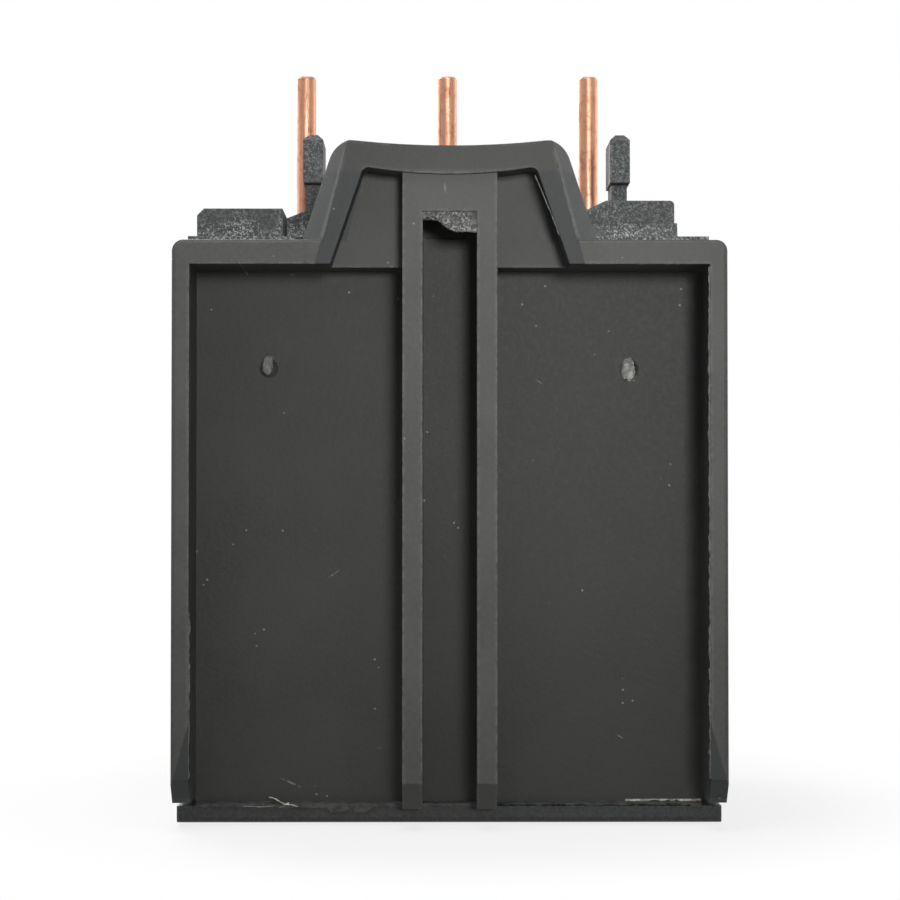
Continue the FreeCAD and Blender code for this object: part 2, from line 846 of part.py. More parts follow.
def make_front_cover():
    """Shell over the mechanism, with the control face in front."""
    shell = box(-half, half, face, housing_front, aux_top, housing_top)
    shell = round_edges(
        shell, front_edge, lambda e: at(e.BoundBox.YMax, face) and not at(e.BoundBox.ZMax, aux_top)
    )
    inner_y = face + face_wall
    hollow = box(-half + wall, half - wall, inner_y, housing_front + 1, aux_top + wall, housing_top - wall)
    open_base = box(
        -half + wall, half - wall, aux_face + aux_face_wall, housing_front + 1, aux_top - 1, aux_top + wall + 1
    )
    shell = shell.cut(Part.makeCompound([hollow, open_base]))
    guides = [
        guide_tube(reset_at, reset_collar_radius),
        guide_tube(stop_at, stop_radius),
        guide_tube(test_at, test_radius),
    ]
    guides += seat_posts() + flag_rails()
    ears = []
    for z0 in (lid_bottom - slip - ear, lid_top + slip):
        ears.append(box(-half + 0.15, lid_left + lid_hub + 0.15, hinge_y() - lid_hub - 0.05, face + 0.5, z0, z0 + ear))
    shell = shell.fuse(guides + ears)
    x, z = dial_at
    tw, th = tag_size
    fw, fh = flag_window
    tools = [
        rod_y(x, z, dial_radius + slide_gap, face - 1, inner_y + 1),
        rod_y(x, z, dial_well, face - 1, face + dial_well_depth),
        rod_y(*reset_at, reset_collar_radius + slide_gap, face - 1, inner_y + 10),
        rod_y(*stop_at, stop_radius + slide_gap, face - 1, inner_y + 10),
        rod_y(*test_at, test_radius + slide_gap, face - 1, inner_y + 10),
        box(flag_at[0] - fw / 2, flag_at[0] + fw / 2, face - 1, inner_y + 1, flag_at[1] - fh / 2, flag_at[1] + fh / 2),
        box(
            tag_at[0] - tw / 2 - slip,
            tag_at[0] + tw / 2 + slip,
            face - 1,
            face + tag_seat,
            tag_at[1] - th / 2 - slip,
            tag_at[1] + th / 2 + slip,
        ),
        rod_z(lid_left, hinge_y(), lid_pin + run, lid_bottom - slip - ear - 1, lid_bottom),
        rod_z(lid_left, hinge_y(), lid_pin + run, lid_top, lid_top + slip + ear - 0.25),
        rod_y(lid_right + seal_tab / 2, (lid_bottom + lid_top) / 2, seal_hole, face - 1, inner_y + 1),
    ]
    for side in (-1, 1):
        level, height = snap_front[1]
        tools.append(snap_boxes(side, half - wall, housing_front, -1, level, height, slip))
    return cut(shell, tools)


def hinge_y():
    """The lid's hinge axis lies just in front of the control face."""
    return face - lid_hub - 0.1


def make_clear_cover():
    """Flat lid with a turned-down rim, a hinge barrel with its two pins, and a seal tab."""
    hy = hinge_y()
    plate = box(lid_left, lid_right, lid_front, lid_front + lid_thick, lid_bottom, lid_top)
    plate = round_edges(
        plate, lid_corner, lambda e: runs_along(e, V(0, 1, 0)) and at(e.BoundBox.XMax, lid_right)
    )
    barrel = rod_z(lid_left, hy, lid_hub, lid_bottom, lid_top)
    rims = [
        box(lid_left, lid_right - lid_corner, lid_front + 0.1, face - touch, z0, z0 + 0.8)
        for z0 in (lid_bottom, lid_top - 0.8)
    ]
    rims.append(
        box(lid_right - 0.9, lid_right, lid_front + 0.1, face - touch, lid_bottom + lid_corner, lid_top - lid_corner)
    )
    middle = (lid_bottom + lid_top) / 2
    tab = box(lid_right - 0.1, lid_right + seal_tab, lid_front, lid_front + lid_thick, middle - 1.5, middle + 1.5)
    tab = round_edges(tab, 1.2, lambda e: runs_along(e, V(0, 1, 0)) and at(e.BoundBox.XMax, lid_right + seal_tab))
    pins = [
        rod_z(lid_left, hy, lid_pin, lid_bottom - lid_pin_length, lid_bottom + 0.1),
        rod_z(lid_left, hy, lid_pin, lid_top - 0.1, lid_top + lid_pin_length),
    ]
    hole = rod_y(lid_right + seal_tab / 2, middle, seal_hole, lid_front - 1, face)
    return cut(fuse([plate, barrel, tab] + rims + pins), [hole])


def cam_outline(y):
    """Spiral cam of arcs: its radius grows evenly over the dial's travel, then falls back."""
    x, z = dial_at
    margin = radians(6)
    sweep = radians(dial_turn) + 2 * margin

    def point(share):
        """The point at a share of the sweep, from just before the lever's side, facing -X."""
        angle = pi - margin + sweep * share
        r = cam_radius + cam_rise * (sweep * share - margin) / radians(dial_turn)
        return V(x + r * cos(angle), y, z + r * sin(angle))

    arcs = 4
    edges = [
        Part.Arc(point(i / arcs), point((i + 0.5) / arcs), point((i + 1) / arcs)).toShape() for i in range(arcs)
    ]
    edges.append(Part.makeLine(point(1), point(0)))
    return Part.Wire(edges)


def make_setting_dial():
    x, z = dial_at
    head_front = face - dial_proud
    inner_y = face + face_wall
    head = rod_y(x, z, dial_radius, head_front, inner_y + slip + 0.1)
    flange = rod_y(x, z, dial_flange, inner_y + slip, inner_y + slip + dial_flange_thick)
    stem = rod_y(x, z, dial_stem, inner_y + slip, cam_rear - 0.1)
    cam = Part.Face(cam_outline(cam_rear - cam_thick)).extrude(V(0, cam_thick, 0))
    grip = box(
        x - dial_slot / 2, x + dial_slot / 2, head_front - 1, head_front + dial_slot_depth, z - dial_radius * 0.6, z + dial_radius * 0.6
    )
    pointer = prism_y(
        [
            (x - 1.3, z + dial_radius * 0.55),
            (x + 1.3, z + dial_radius * 0.55),
            (x, z + dial_radius * 0.88),
        ],
        head_front - 1,
        head_front + 0.5,
    )
    return cut(fuse([head, flange, stem, cam]), [grip, pointer])


def make_setting_lever():
    """Rests its arm against the cam and turns on its own pin."""
    px, pz = setting_pivot
    y0, y1 = cam_rear - cam_thick, cam_rear
    face_x = dial_at[0] - cam_radius - touch
    hub = rod_y(px, pz, setting_hub, y0, y1)
    arm = prism_y(
        [
            (px - 0.6, pz),
            (px + 1.2, pz),
            (face_x, dial_at[1] - 4.0),
            (face_x, setting_top),
            (face_x - setting_arm, setting_top),
            (face_x - setting_arm, dial_at[1] - 4.0),
        ],
        y0,
        y1,
    )
    return cut(fuse([hub, arm]), [rod_y(px, pz, setting_pin + run, y0 - 1, y1 + 1)])


def make_pivot_pin(x, z, radius, end):
    """Fixed pin from the housing's front wall into the mechanism."""
    return rod_y(x, z, radius, end, housing_front + wall - 0.3)


def make_reset_selector():
    """Turning collar round the reset button: a notched rim in front, a flange behind the face."""
    x, z = reset_at
    rim_front = face - selector_proud
    flange_front = face + face_wall + guide + slip
    ring = rod_y(x, z, reset_collar_radius, rim_front, flange_front + 0.1)
    flange = rod_y(x, z, reset_collar_flange, flange_front, flange_front + button_flange_thick)
    inner, outer = reset_plunger + 0.3, reset_collar_radius + 1
    notches = [
        box(x - 0.5, x + 0.5, rim_front - 1, face - 0.2, z0, z1)
        for z0, z1 in ((z + inner, z + outer), (z - outer, z - inner))
    ]
    bore = rod_y(x, z, reset_plunger + slide_gap, rim_front - 1, flange_front + button_flange_thick + 1)
    return cut(fuse([ring, flange]), [bore] + notches)


def make_plunger(at_xz, radius, flange, flange_y, stem, stem_rear):
    """Push button: a chamfered head, a stop flange behind its guide and a stem to the rear."""
    x, z = at_xz
    head = rod_y(x, z, radius, button_front, flange_y + 0.1)
    head = head.makeChamfer(button_chamfer, [e for e in head.Edges if at(e.BoundBox.YMax, button_front)])
    collar = rod_y(x, z, flange, flange_y, flange_y + button_flange_thick)
    rod = rod_y(x, z, stem, flange_y + button_flange_thick - 0.1, stem_rear)
    return fuse([head, collar, rod])


def selector_rear():
    """Rear of the collar's flange."""
    return face + face_wall + guide + slip + button_flange_thick


def button_flange_y():
    return face + face_wall + guide + slip


def reset_flange_y():
    return selector_rear() + slip


def make_spring(at_xz, stem, flange_y):
    """Coil of square wire round a button's stem, from the button's flange to the seat plate."""
    x, z = at_xz
    w = spring_wire / 2
    near = flange_y + button_flange_thick + w
    far = seat_plate_front - w
    r = stem + spring_clear + w
    steps = round(spring_turns * spring_runs)
    coil = []
    for i in range(steps + 1):
        angle = 2 * pi * i / spring_runs
        coil.append(V(x + r * cos(angle), near + (far - near) * i / steps, z + r * sin(angle)))
    out = V(1, 0, 0)
    up = (coil[1] - coil[0]).cross(out).normalize()
    corners = [coil[0] + out * a + up * b for a, b in ((-w, -w), (w, -w), (w, w), (-w, w))]
    section = Part.makePolygon(corners + corners[:1])
    return Part.makePolygon(coil).makePipeShell([section], True, True, 1)


def seat_plate_box(y0, y1):
    right = half - wall - slip
    top = housing_top - wall - slip
    return box(seat_plate_left, right, y0, y1, seat_plate_bottom, top)


def make_seat_plate():
    """Plate behind the buttons: their stems run through it and their springs stand on it."""
    plate = seat_plate_box(seat_plate_front, seat_plate_front + seat_plate)
    bores = [
        rod_y(x, z, stem + slide_gap, seat_plate_front - 1, seat_plate_front + seat_plate + 1)
        for (x, z), stem in ((reset_at, reset_stem), (stop_at, reset_stem), (test_at, test_stem))
    ]
    return cut(plate, bores)


def seat_posts():
    """Posts on the back of the control face that carry the seat plate at its corners."""
    left = seat_plate_left + seat_post_inset
    right = half - wall - seat_post_inset
    low = seat_plate_bottom + seat_post_inset
    high = housing_top - wall - seat_post_inset
    y0 = face + face_wall - 0.1
    r = seat_post
    places = ((left, low), (left, high), (right, high))
    return [box(x - r, x + r, y0, seat_plate_front, z - r, z + r) for x, z in places]


def make_tag():
    x, z = tag_at
    w, h = tag_size
    tag = box(x - w / 2, x + w / 2, face + tag_seat - tag_thick, face + tag_seat, z - h / 2, z + h / 2)
    return round_edges(tag, 0.4, lambda e: runs_along(e, V(0, 1, 0)))


# ================================================================ trip mechanism
def make_trip_lever():
    """Turned by the slide's arm; its tail reaches down to the rocker."""
    x, z = lever_x, lever_pivot
    hub = rod_y(x, z, lever_hub, lever_front, lever_rear)
    tail = box(x - lever_arm / 2, x + lever_arm / 2, lever_front, lever_rear, lever_tail, z)
    clip = box(x - lever_arm / 2, x + lever_arm / 2, lever_front, lever_rear, z, z + lever_clip)
    return cut(fuse([hub, tail, clip]), [rod_y(x, z, lever_pin + run, lever_front - 1, lever_rear + 1)])


def make_compensation_strip():
    """Second bimetal strip, on the trip lever, that answers to room temperature."""
    x0 = lever_x - lever_arm / 2 - comp_strip
    return box(x0, x0 + comp_strip, lever_front, lever_rear, lever_pivot + lever_hub + 0.3, comp_top)


def make_rocker():
    """Two-armed rocker: the left arm presses one blade down, the right one lifts the other."""
    hub = rod_y(0, rocker_pivot, rocker_hub, rocker_front, rocker_rear)
    above = blade_level + blade_thick + touch
    below = blade_level - touch
    left = prism_y(
        [
            (-rocker_reach, above),
            (-rocker_reach + rocker_arm, above),
            (0.9, rocker_pivot - rocker_hub + 0.2),
            (0, rocker_pivot + rocker_hub - 0.2),
            (-rocker_reach, above + rocker_arm),
        ],
        rocker_front,
        rocker_rear,
    )
    low = rocker_low
    right = prism_y(
        [
            (-rocker_leg / 2, rocker_pivot),
            (-rocker_leg / 2, low + rocker_arm),
            (0, low),
            (rocker_reach, low),
            (rocker_reach, below),
            (rocker_reach - rocker_arm, below),
            (rocker_reach - rocker_arm, low + rocker_arm),
            (rocker_leg, low + rocker_arm),
            (rocker_leg, rocker_pivot),
        ],
        rocker_front,
        rocker_rear,
    )
    tooth = box(
        rocker_reach - rocker_arm,
        rocker_tooth,
        rocker_rear - 0.5,
        rocker_tooth_rear,
        low,
        low + 1.8,
    )
    bore = rod_y(0, rocker_pivot, rocker_pin + run, rocker_front - 1, rocker_rear + 1)
    return cut(fuse([hub, left, right, tooth]), [bore])


def make_blade(root, tip):
    """Contact spring from its root to its tip along X, with a contact button underneath."""
    x0, x1 = sorted((root, tip))
    middle = (rocker_front + rocker_rear) / 2
    blade = box(
        x0, x1, middle - blade_width / 2, middle + blade_width / 2, blade_level, blade_level + blade_thick
    )
    x = tip + (blade_tip if root > tip else -blade_tip)
    button = rod_z(x, middle, contact_radius, blade_level - contact_height, blade_level + blade_thick / 2)
    return fuse([blade, button])


def make_flag():
    """Trip indicator: a small plate that slides between two rails behind its window."""
    x, z = flag_at
    w = flag_window[0] / 2 + flag_border
    h = flag_window[1] / 2 + flag_border
    y0 = face + face_wall + slip
    return box(x - w, x + w, y0, y0 + flag_rail, z - h, z + h)


# ================================================================ assembly
def build():
    nodes = {
        "rear_cover": make_rear_cover(),
        "main_housing": make_main_housing(),
        "terminal_housing": make_terminal_housing(),
        "front_cover": make_front_cover(),
        "clear_cover": make_clear_cover(),
        "marker_tag": make_tag(),
        "setting_dial": make_setting_dial(),
        "setting_lever": make_setting_lever(),
        "reset_selector": make_reset_selector(),
        "reset_button": make_plunger(
            reset_at, reset_plunger, reset_plunger + 0.9, reset_flange_y(), reset_stem, reset_stem_rear
        ),
        "stop_button": make_plunger(
            stop_at, stop_radius, stop_flange, button_flange_y(), reset_stem, stop_stem_rear
        ),
        "test_button": make_plunger(
            test_at, test_radius, test_flange, button_flange_y(), test_stem, test_stem_rear
        ),
        "spring_seat": make_seat_plate(),
        "reset_spring": make_spring(reset_at, reset_stem, reset_flange_y()),
        "stop_spring": make_spring(stop_at, reset_stem, button_flange_y()),
        "main_slide": make_main_slide(),
        "differential_slide": make_differential_slide(),
        "trip_lever": make_trip_lever(),
        "compensation_strip": make_compensation_strip(),
        "trip_rocker": make_rocker(),
        "trip_flag": make_flag(),
        "lever_pin": make_pivot_pin(lever_x, lever_pivot, lever_pin, lever_front - 0.8),
        "rocker_pin": make_pivot_pin(0, rocker_pivot, rocker_pin, rocker_front - 0.8),
        "setting_pin": make_pivot_pin(*setting_pivot, setting_pin, cam_rear - cam_thick - 0.8),
    }
    for i, x in enumerate(columns(3, main_pitch)):
        n = i + 1
        nodes[f"contact_pin_{n}"] = make_contact_pin(strip_x(i))
        nodes[f"output_bar_{n}"] = make_output_bar(x)
        nodes[f"bimetal_strip_{n}"] = make_strip(i)
        nodes[f"heater_winding_{n}"] = make_winding(i)
        nodes[f"main_clamp_{n}"] = make_saddle(
            x, main_screw_height, main_saddle, main_saddle_thick, main_thread, main_plate_front
        )
        nodes[f"main_screw_{n}"] = make_screw(
            x,
            main_screw_height,
            saddle_face(main_plate_front, main_saddle_thick) - 0.05,
            main_head,
            main_head_height,
            main_thread,
            main_shank,
        )
    foot_drop = {97: 0, 98: contact_height + contact_open, 95: contact_height, 96: 0}
    for n, x in zip(foot_drop, columns(4, aux_pitch)):
        nodes[f"aux_plate_{n}"] = make_aux_plate(x, blade_level - foot_drop[n])
        nodes[f"aux_clamp_{n}"] = make_saddle(
            x, aux_screw_height, aux_saddle, aux_saddle_thick, aux_thread, aux_plate_front
        )
        nodes[f"aux_screw_{n}"] = make_screw(
            x,
            aux_screw_height,
            saddle_face(aux_plate_front, aux_saddle_thick) - 0.05,
            aux_head,
            aux_head_height,
            aux_thread,
            aux_shank,
        )
    left, right = columns(4, aux_pitch)[0], columns(4, aux_pitch)[3]
    nodes["open_contact_blade"] = make_blade(left, -aux_pitch / 2 + blade_tip)
    nodes["closed_contact_blade"] = make_blade(right, aux_pitch / 2 - blade_tip)
    return nodes


def export(nodes):
    os.makedirs("parts", exist_ok=True)
    for name, shape in nodes.items():
        solids = shape.Solids
        whole = solids[0] if len(solids) == 1 else Part.makeCompound(solids)
        if not whole.isValid() or not solids:
            raise ValueError(f"{name} is not a valid solid")
        whole.exportStep(f"parts/{name}.step")


if __name__ == "__main__":
    export(build())
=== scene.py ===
"""Plug-in thermal overload relay on a white floor, seen from behind."""
import json
from math import atan2, cos, hypot, pi, radians, sin, tan

import bpy
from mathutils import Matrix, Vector


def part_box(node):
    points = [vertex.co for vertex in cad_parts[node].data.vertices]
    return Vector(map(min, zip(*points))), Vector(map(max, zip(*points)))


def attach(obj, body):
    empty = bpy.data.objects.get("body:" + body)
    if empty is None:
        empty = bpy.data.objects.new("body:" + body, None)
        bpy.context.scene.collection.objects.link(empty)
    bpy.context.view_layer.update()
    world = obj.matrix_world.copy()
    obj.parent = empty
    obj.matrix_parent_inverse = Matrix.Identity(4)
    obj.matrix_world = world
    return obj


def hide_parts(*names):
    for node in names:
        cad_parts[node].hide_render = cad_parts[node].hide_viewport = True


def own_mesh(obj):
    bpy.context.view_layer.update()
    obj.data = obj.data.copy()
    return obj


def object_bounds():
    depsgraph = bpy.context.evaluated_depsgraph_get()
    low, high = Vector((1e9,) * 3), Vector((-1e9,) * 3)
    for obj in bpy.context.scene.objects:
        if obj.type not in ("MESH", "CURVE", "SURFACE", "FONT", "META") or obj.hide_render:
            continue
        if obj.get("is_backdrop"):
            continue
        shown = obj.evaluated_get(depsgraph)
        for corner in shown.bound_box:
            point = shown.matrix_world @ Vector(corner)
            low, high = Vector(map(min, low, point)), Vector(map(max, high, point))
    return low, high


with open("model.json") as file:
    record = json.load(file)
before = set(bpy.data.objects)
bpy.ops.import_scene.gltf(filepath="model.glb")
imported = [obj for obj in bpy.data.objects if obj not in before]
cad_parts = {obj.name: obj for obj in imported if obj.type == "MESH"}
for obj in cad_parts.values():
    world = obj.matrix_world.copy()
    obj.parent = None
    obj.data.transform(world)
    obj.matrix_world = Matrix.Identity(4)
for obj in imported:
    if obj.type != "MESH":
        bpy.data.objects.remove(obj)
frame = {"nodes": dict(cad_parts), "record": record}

cad_low, cad_high = (Vector(corner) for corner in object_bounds())
MM = 0.001

# Planes, edges and places on the solids, in mm
REAR = cad_high.y / MM  # the frame round the rear panels
PANEL = REAR - 7.0
LIP = REAR - 6.0  # the housing's lip below the panels
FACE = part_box("front_cover")[0][1] / MM + 1.75  # the control face, behind the hinge ears
HOOK_REAR = 7.0
PANEL_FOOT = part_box("rear_cover")[0][2] / MM
RAIL_INSIDE = cad_high.x / MM - 1.45
BAR_UNDERSIDE = 45.7
BAR_TOP = 47.9
HOOD_RIM = 53.3
CROSS_BAR = 50.0  # underside of the bar across the two ribs
CHANNEL_HALF = 2.2
RIDGE = (8.66, 54.2)  # x and z of a point on the ridge of each leg of the hood
OUTWARD = (0.965, 0.263)  # across that ridge, in x and z
LEG = 1.85  # from the ridge to the leg's inner edge


# ---------------------------------------------------------------- shader maths
class Value:
    """A socket that takes part in Python sums."""

    def __init__(self, nodes, socket):
        self.nodes = nodes
        self.socket = socket

    def math(self, operation, *others):
        inputs = dict(enumerate((self, *others)))
        return self.nodes.node("ShaderNodeMath", {"operation": operation}, inputs)

    def __add__(self, other):
        return self.math("ADD", other)

    __radd__ = __add__

    def __mul__(self, other):
        return self.math("MULTIPLY", other)

    __rmul__ = __mul__

    def __sub__(self, other):
        return self.math("SUBTRACT", other)

    def __rsub__(self, other):
        return (self * -1) + other

    def __truediv__(self, other):
        return self.math("DIVIDE", other)

    def __abs__(self):
        return self.math("ABSOLUTE")

    def limit(self):
        return self.math("MINIMUM", 1).math("MAXIMUM", 0)

    def between(self, low, high):
        """0 below low, 1 above high and a soft step in between."""
        settings = {"interpolation_type": "SMOOTHSTEP"}
        return self.nodes.node("ShaderNodeMapRange", settings, {0: self, 1: low, 2: high})


class Nodes:
    """A node tree whose nodes are added by one method."""

    def __init__(self, tree):
        self.tree = tree

    def node(self, kind, settings=None, inputs=None, output=0):
        """Adds a node, sets it up, fills or links its inputs and gives one of its outputs."""
        made = self.tree.nodes.new(kind)
        for name, value in (settings or {}).items():
            setattr(made, name, value)
        for key, value in (inputs or {}).items():
            self.feed(made.inputs[key], value)
        return Value(self, made.outputs[output])

    def feed(self, socket, value):
        if isinstance(value, Value):
            self.tree.links.new(value.socket, socket)
        else:
            socket.default_value = value

    def ray(self, kind):
        return self.node("ShaderNodeLightPath", output=f"Is {kind} Ray")

    def glow(self, colour, strength, kind="ShaderNodeBackground"):
        return self.node(kind, {}, {"Color": colour, "Strength": strength})

    def mix_shaders(self, amount, first, second):
        return self.node("ShaderNodeMixShader", {}, {0: amount, 1: first, 2: second})


class Finish(Nodes):
    """A procedural material whose patterns lie on Object coordinates."""

    def __init__(self, name, **constants):
        self.material = bpy.data.materials.new(name)
        self.material.use_nodes = True
        super().__init__(self.material.node_tree)
        self.shader = self.tree.nodes["Principled BSDF"]
        for socket, value in constants.items():
            self.shader.inputs[socket.replace("_", " ")].default_value = value
        self.place = self.node("ShaderNodeTexCoord", output="Object")

    def wear(self, **looks):
        """Links what varies over the surface to the shader."""
        for socket, value in looks.items():
            self.feed(self.shader.inputs[socket.replace("_", " ")], value)
        return self

    def noise(self, scale, detail=2.0, rough=0.5, place=None):
        place = place or self.place
        inputs = {"Vector": place, "Scale": scale, "Detail": detail, "Roughness": rough}
        return self.node("ShaderNodeTexNoise", {}, inputs)

    def cells(self, scale):
        inputs = {"Vector": self.place, "Scale": scale}
        return self.node("ShaderNodeTexVoronoi", {}, inputs, "Distance")

    def placed(self, scale=(1, 1, 1), move=(0, 0, 0), turn=(0, 0, 0)):
        """The Object coordinates moved, turned and stretched."""
        inputs = {"Vector": self.place, "Location": move, "Rotation": turn, "Scale": scale}
        return self.node("ShaderNodeMapping", {"vector_type": "TEXTURE"}, inputs)

    def axes(self, place=None):
        split = self.tree.nodes.new("ShaderNodeSeparateXYZ")
        self.feed(split.inputs[0], place or self.place)
        return [Value(self, output) for output in split.outputs]

    def blend(self, amount, first, second):
        inputs = {0: amount, 6: first, 7: second}
        return self.node("ShaderNodeMix", {"data_type": "RGBA"}, inputs, 2)

    def rounded(self, radius):
        """The normal of edges that are eased by a radius."""
        return self.node("ShaderNodeBevel", {"samples": 6}, {"Radius": radius})

    def corners(self, reach):
        """1 at outward edges, 0 on open faces."""
        settings = {"inside": True, "only_local": True, "samples": 6}
        return 1 - self.node("ShaderNodeAmbientOcclusion", settings, {"Distance": reach}, "AO")

    def bump(self, height, depth, strength=1.0, under=None):
        inputs = {"Height": height, "Distance": depth, "Strength": strength}
        if under:
            inputs["Normal"] = under
        return self.node("ShaderNodeBump", {}, inputs)


def shade(red, green, blue):
    """A linear colour from the 0 to 255 values of a colour chart."""
    levels = [c / 255 for c in (red, green, blue)]
    linear = [c / 12.92 if c <= 0.04045 else ((c + 0.055) / 1.055) ** 2.4 for c in levels]
    return (*linear, 1.0)


def dimmed(colour, amount):
    return (*(c * amount for c in colour[:3]), 1.0)


# ---------------------------------------------------------------- finishes
EASED = 0.16 * MM  # radius of the moulded edges
UNSHADED_DEPTH = (REAR - 0.5) * MM  # faces from here to the rear get no painted shade
SHADED_DEPTH = (REAR - 7.6) * MM  # faces this deep get the full painted shade
BLACK = (0, 0, 0, 1)
WHITE = (1, 1, 1, 1)
GRAIN_AND_UNSHADED_FROM = 44.0  # height in mm at which the housing's coarse grain begins, and below which its colour gets painted shade
SCUFFS = (  # x, z, half length, half width in mm and the turn in degrees
    (13.1, 3.2, 1.1, 0.10, 24),
    (0.4, 51.9, 0.5, 0.09, 85),
    (-14.2, 7.0, 0.5, 0.06, 30),
    (16.9, 45.6, 0.5, 0.05, 60),
    (9.6, 20.5, 0.7, 0.05, -35),
    (-7.5, 36.5, 0.4, 0.05, 40),
)


def scuffed(f):
    """Short scratches at their places on the rear faces."""
    marks = 0
    for x, z, length, breadth, turn in SCUFFS:
        scale = (length * MM, 1, breadth * MM)
        along, _, across = f.axes(f.placed(scale, (x * MM, 0, z * MM), (0, -radians(turn), 0)))
        marks = marks + (1 - (along * along + across * across)).limit()
    return marks.limit() * f.noise(4200, 2).between(0.35, 0.6)


def painted_face_shade(f):
    """Painted shade, as the share of its colour a face keeps: sunk rear faces keep half, as painted
    shade in the recesses together with their glossier finish; faces that don't face the rear keep a
    little more than half; the hood's top rim is darkened further.
    """
    raised = f.axes()[1].between(SHADED_DEPTH, UNSHADED_DEPTH)
    rearward = f.axes(f.node("ShaderNodeNewGeometry", output="Normal"))[1].between(0.6, 0.9)
    rim = f.axes()[2].between((HOOD_RIM - 0.3) * MM, (HOOD_RIM + 0.3) * MM)
    return rearward * (raised * 0.5 + 0.5) * (1 - rim * 0.3) + (1 - rearward) * 0.54


def hood_leg_shade_and_ridge_highlight(f):
    """Masks for painted shade on the leaning legs of the hood and for a painted highlight along the
    ridge down each one.
    """
    x, depth, z = f.axes()
    from_ridge = (abs(x) - RIDGE[0] * MM) * OUTWARD[0] + (z - RIDGE[1] * MM) * OUTWARD[1]
    raised = depth.between(UNSHADED_DEPTH - 1.2 * MM, UNSHADED_DEPTH - 1.0 * MM)
    inner = from_ridge.between(0.05 * MM, -0.1 * MM) * raised
    above = z.between((BAR_TOP - 0.2) * MM, (BAR_TOP + 0.2) * MM) * depth.between(SHADED_DEPTH, UNSHADED_DEPTH)
    below_rim = z.between((HOOD_RIM + 0.3) * MM, (HOOD_RIM - 0.3) * MM)
    inside = from_ridge.between(-(LEG + 0.05) * MM, -(LEG - 0.05) * MM)
    legs = inside * inner.math("MAXIMUM", above) * below_rim
    line = (1 - abs(from_ridge) / (0.26 * MM)).limit()
    ridge = line * above * z.between((RIDGE[1] + 1.2) * MM, (RIDGE[1] + 0.4) * MM)
    return legs, ridge * f.noise(1500, 2).between(0.25, 0.5)


def moulded_plastic(name, colour, grain=1.0, rough=0.5, dust=1.0, edge_wear_and_highlight=0.5, marks=False):
    """Fine-grained moulding with faint clouds, dust specks and pale edges, partly wear and partly
    painted highlight.
    """
    f = Finish(name, Specular_IOR_Level=0.2)
    clouds = f.noise(110, 4, 0.6)
    fine = f.noise(2600, 3)
    base = f.blend(clouds.between(0.3, 0.7), dimmed(colour, 0.86), dimmed(colour, 1.16))
    base = f.blend(fine.between(0.35, 0.75) * 0.3, base, dimmed(colour, 1.5))
    pale = dimmed(colour, 2.4)
    # Pale edges: partly wear, partly painted highlight.
    edge = f.corners(0.32 * MM).between(0.06, 0.35) * f.noise(1300, 3, 0.7).between(0.36, 0.6)
    base = f.blend(edge * edge_wear_and_highlight, base, pale)
    specks = (0.1 - f.cells(900)).between(0, 0.03) * f.noise(240, 1).between(0.6, 0.64)
    # With marks, the cover also gets painted shade, a painted highlight on the hood's ridges, and
    # scratches.
    if marks:
        legs, ridge = hood_leg_shade_and_ridge_highlight(f)
        # Painted shade on the hood's leaning legs, a little bluish.
        base = f.blend(legs * 0.9, base, shade(67, 70, 71))
        # Painted shade: sunk faces, faces that don't face the rear and the hood's top rim are
        # darkened.
        base = f.blend(painted_face_shade(f), BLACK, base)
        # Painted highlight along the ridge of each leg.
        base = f.blend(ridge * 0.5, base, shade(124, 127, 126))
        specks = (specks + scuffed(f)).limit()
    base = f.blend(specks * (0.5 * dust), base, shade(200, 200, 196))
    return f.wear(
        Base_Color=base,
        Roughness=(fine * 0.2 + clouds * 0.1 + (rough - 0.15)).limit(),
        Normal=f.bump(fine, 0.03 * MM * grain, 0.6, f.rounded(EASED)),
    )


def torn_plastic(name, colour):
    """Plastic that has been torn or stretched: blotchy, stress-whitened and rough."""
    f = Finish(name, Specular_IOR_Level=0.3)
    blotches = f.noise(2100, 4, 0.75)
    base = f.blend(blotches.between(0.36, 0.64), dimmed(colour, 0.5), dimmed(colour, 1.3))
    return f.wear(
        Base_Color=base,
        Roughness=blotches * 0.5 + 0.25,
        Normal=f.bump(blotches, 0.06 * MM, 0.8),
    )


def eroded_plastic(name, colour, contrast):
    """Housing plastic with the coarse grain that spark erosion leaves in a mould, painted
    highlights for its sparkle, pale edges that are partly wear and partly painted highlight, and
    painted shade below the grain.
    """
    f = Finish(name, Specular_IOR_Level=0.25)
    grit = f.cells(7200)
    lumps = f.noise(3600, 3, 0.7)
    height = f.axes()[2]
    grain_and_unshaded = height.between(GRAIN_AND_UNSHADED_FROM * MM, (GRAIN_AND_UNSHADED_FROM + 2) * MM)
    relief = (grit * 0.6 + lumps) * (grain_and_unshaded * 0.85 + 0.15)
    fewer = 1 - height.between(50.4 * MM, 51.6 * MM) * 0.65  # on the blocks and hooks
    # Painted highlights: pale specks in the colour that stand for the sparkle of the grain.
    painted_glints = relief.between(0.84, 1.0) * f.noise(420, 2).between(0.25, 0.6) * fewer
    base = f.blend(lumps.between(0.3, 0.7), dimmed(colour, 0.6), dimmed(colour, 1.35))
    # Painted shade: below the grain the housing's colour is darkened, over its lower part and lip.
    base = f.blend(grain_and_unshaded * 0.4 + 0.6, BLACK, base)
    base = f.blend(painted_glints * contrast, base, shade(182, 185, 183))
    # Pale edges: partly wear, partly painted highlight.
    edge = f.corners(0.25 * MM).between(0.1, 0.4) * lumps.between(0.4, 0.6)
    base = f.blend(edge * 0.45, base, dimmed(colour, 2.6))
    return f.wear(
        Base_Color=base,
        Roughness=(lumps * 0.4 + 0.3).limit(),
        Normal=f.bump(relief, 0.07 * MM * contrast, 0.8, f.rounded(EASED)),
    )


